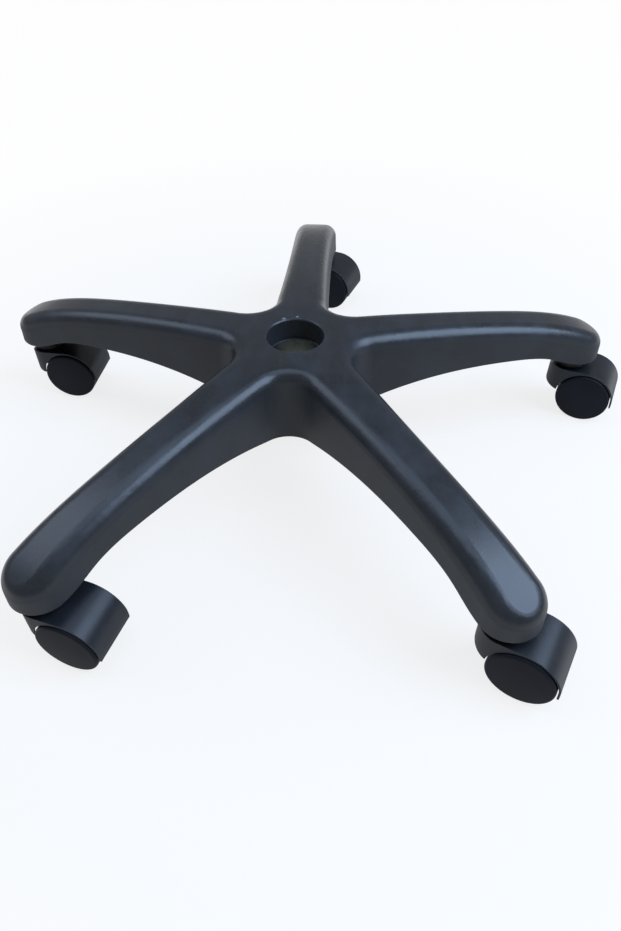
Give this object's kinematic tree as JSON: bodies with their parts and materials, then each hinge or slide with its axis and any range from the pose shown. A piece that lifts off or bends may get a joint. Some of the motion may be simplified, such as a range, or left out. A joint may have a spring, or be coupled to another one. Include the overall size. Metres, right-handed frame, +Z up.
{
  "type": "office chair five star base",
  "caption": "Moulded nylon star base for a swivel chair: arched hollow arms, column bore in the hub, and hooded twin wheel swivel casters under the arm ends.",
  "frame": {"origin": "centre of the column bore's top rim, on the hub's top face", "axes": "+Z up along the column, +Y along the back arm, +X to the right in the picture"},
  "size_m": [0.6226, 0.5816, 0.1324],
  "materials": {
    "base_nylon": "satin moulded glass-filled nylon",
    "hood_nylon": "satin moulded nylon",
    "wheel_nylon": "smooth moulded nylon",
    "zinc_steel": "zinc plated",
    "plain_steel": "turned, lightly oiled"
  },
  "bodies": {
    "base": {"star_base": "base_nylon", "taper_sleeve": "plain_steel", "stem_1": "zinc_steel", "grip_ring_1": "zinc_steel", "stem_2": "zinc_steel", "grip_ring_2": "zinc_steel", "stem_3": "zinc_steel", "grip_ring_3": "zinc_steel", "stem_4": "zinc_steel", "grip_ring_4": "zinc_steel", "stem_5": "zinc_steel", "grip_ring_5": "zinc_steel"},
    "caster_1": {"hood_1": "hood_nylon", "axle_1": "zinc_steel"},
    "wheel_left_1": {"wheel_left_1": "wheel_nylon"},
    "wheel_right_1": {"wheel_right_1": "wheel_nylon"},
    "caster_2": {"hood_2": "hood_nylon", "axle_2": "zinc_steel"},
    "wheel_left_2": {"wheel_left_2": "wheel_nylon"},
    "wheel_right_2": {"wheel_right_2": "wheel_nylon"},
    "caster_3": {"hood_3": "hood_nylon", "axle_3": "zinc_steel"},
    "wheel_left_3": {"wheel_left_3": "wheel_nylon"},
    "wheel_right_3": {"wheel_right_3": "wheel_nylon"},
    "caster_4": {"hood_4": "hood_nylon", "axle_4": "zinc_steel"},
    "wheel_left_4": {"wheel_left_4": "wheel_nylon"},
    "wheel_right_4": {"wheel_right_4": "wheel_nylon"},
    "caster_5": {"hood_5": "hood_nylon", "axle_5": "zinc_steel"},
    "wheel_left_5": {"wheel_left_5": "wheel_nylon"},
    "wheel_right_5": {"wheel_right_5": "wheel_nylon"}
  },
  "joints": [
    {"name": "swivel_1", "type": "hinge", "parent": "base", "child": "caster_1", "pos_m": [0, 0.285, -0.0685], "axis": [0, 0, 1], "continuous": true},
    {"name": "roll_left_1", "type": "hinge", "parent": "caster_1", "child": "wheel_left_1", "pos_m": [0.02199, 0.277, -0.1064], "axis": [0.342, 0.9397, 0], "continuous": true},
    {"name": "roll_right_1", "type": "hinge", "parent": "caster_1", "child": "wheel_right_1", "pos_m": [0.02199, 0.277, -0.1064], "axis": [0.342, 0.9397, 0], "continuous": true},
    {"name": "swivel_2", "type": "hinge", "parent": "base", "child": "caster_2", "pos_m": [-0.27105, 0.08807, -0.0685], "axis": [0, 0, 1], "continuous": true},
    {"name": "roll_left_2", "type": "hinge", "parent": "caster_2", "child": "wheel_left_2", "pos_m": [-0.24771, 0.08644, -0.1064], "axis": [0.0698, 0.9976, 0], "continuous": true},
    {"name": "roll_right_2", "type": "hinge", "parent": "caster_2", "child": "wheel_right_2", "pos_m": [-0.24771, 0.08644, -0.1064], "axis": [0.0698, 0.9976, 0], "continuous": true},
    {"name": "swivel_3", "type": "hinge", "parent": "base", "child": "caster_3", "pos_m": [-0.16752, -0.23057, -0.0685], "axis": [0, 0, 1], "continuous": true},
    {"name": "roll_left_3", "type": "hinge", "parent": "caster_3", "child": "wheel_left_3", "pos_m": [-0.14492, -0.23663, -0.1064], "axis": [0.2588, 0.9659, 0], "continuous": true},
    {"name": "roll_right_3", "type": "hinge", "parent": "caster_3", "child": "wheel_right_3", "pos_m": [-0.14492, -0.23663, -0.1064], "axis": [0.2588, 0.9659, 0], "continuous": true},
    {"name": "swivel_4", "type": "hinge", "parent": "base", "child": "caster_4", "pos_m": [0.16752, -0.23057, -0.0685], "axis": [0, 0, 1], "continuous": true},
    {"name": "roll_left_4", "type": "hinge", "parent": "caster_4", "child": "wheel_left_4", "pos_m": [0.18855, -0.24083, -0.1064], "axis": [0.4384, 0.8988, 0], "continuous": true},
    {"name": "roll_right_4", "type": "hinge", "parent": "caster_4", "child": "wheel_right_4", "pos_m": [0.18855, -0.24083, -0.1064], "axis": [0.4384, 0.8988, 0], "continuous": true},
    {"name": "swivel_5", "type": "hinge", "parent": "base", "child": "caster_5", "pos_m": [0.27105, 0.08807, -0.0685], "axis": [0, 0, 1], "continuous": true},
    {"name": "roll_left_5", "type": "hinge", "parent": "caster_5", "child": "wheel_left_5", "pos_m": [0.2929, 0.07968, -0.1064], "axis": [0.3584, 0.9336, 0], "continuous": true},
    {"name": "roll_right_5", "type": "hinge", "parent": "caster_5", "child": "wheel_right_5", "pos_m": [0.2929, 0.07968, -0.1064], "axis": [0.3584, 0.9336, 0], "continuous": true}
  ]
}
